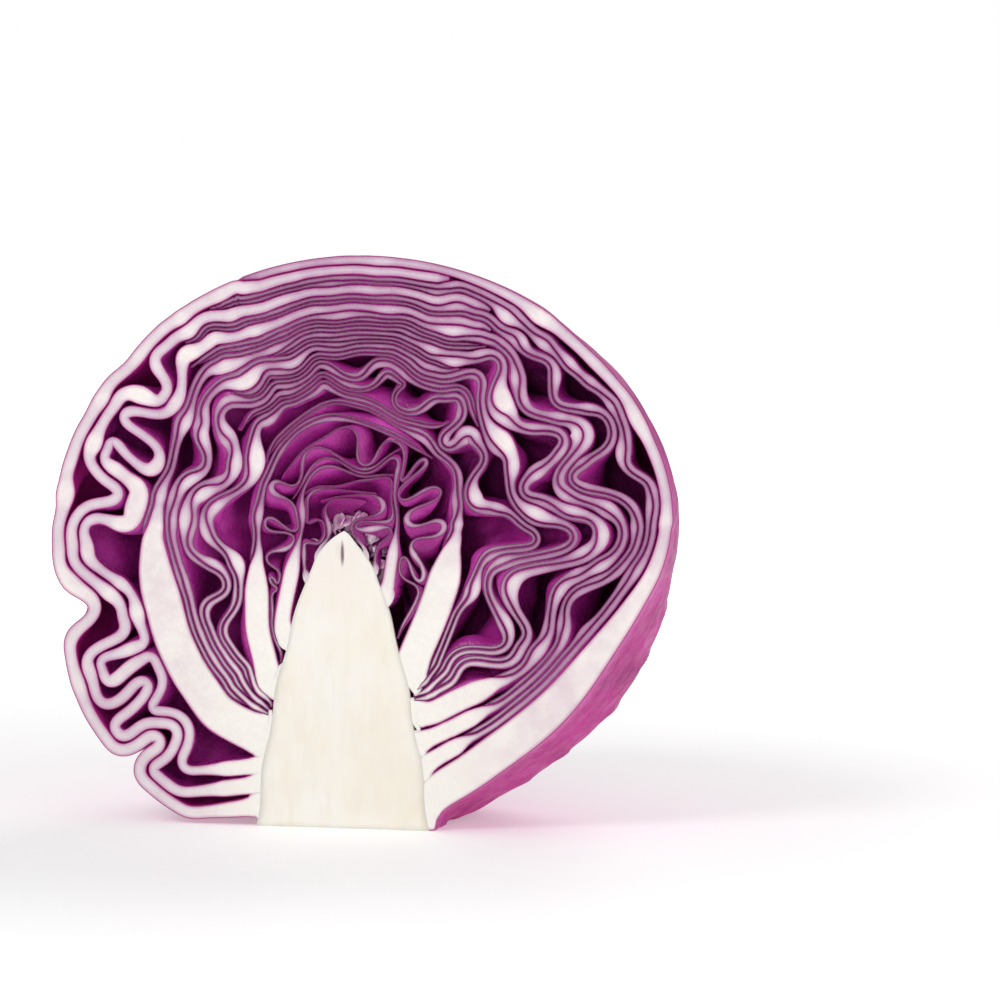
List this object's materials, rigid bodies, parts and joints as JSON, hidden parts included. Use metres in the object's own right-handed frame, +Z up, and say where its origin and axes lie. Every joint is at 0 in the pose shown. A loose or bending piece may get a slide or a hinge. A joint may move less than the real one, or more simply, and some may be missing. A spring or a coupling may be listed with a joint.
{
  "type": "halved cabbage head",
  "caption": "Half of a round red cabbage head, cut down through its core: flat cut face, folded leaves in layers, rounded back, standing on its trimmed stem.",
  "frame": {"origin": "bottom centre of the object's box, on the surface that the half head stands on", "axes": "+Z up along the core from the trimmed stem to the crown, -Y out of the flat cut face, +X to the right of a viewer facing the cut face"},
  "size_m": [0.1582, 0.0782, 0.142],
  "materials": {
    "core_flesh": "moist cut flesh, cream white",
    "heart_bud": "moist, tiny crumpled leaves",
    "outer_leaf": "waxy magenta skin with pale ribs, pale cut edge",
    "leaf": "waxy purple skin, pale moist cut edge"
  },
  "bodies": {
    "root": {"core": "core_flesh", "heart_bud": "heart_bud", "right_leaf_01": "outer_leaf", "left_leaf_01": "outer_leaf", "right_leaf_02": "leaf", "left_leaf_02": "leaf", "right_leaf_03": "leaf", "left_leaf_03": "leaf", "right_leaf_04": "leaf", "left_leaf_04": "leaf", "right_leaf_05": "leaf", "left_leaf_05": "leaf", "right_leaf_06": "leaf", "left_leaf_06": "leaf", "right_leaf_07": "leaf", "left_leaf_07": "leaf", "right_leaf_08": "leaf", "left_leaf_08": "leaf", "right_leaf_09": "leaf", "left_leaf_09": "leaf", "right_leaf_10": "leaf", "left_leaf_10": "leaf"}
  },
  "joints": []
}
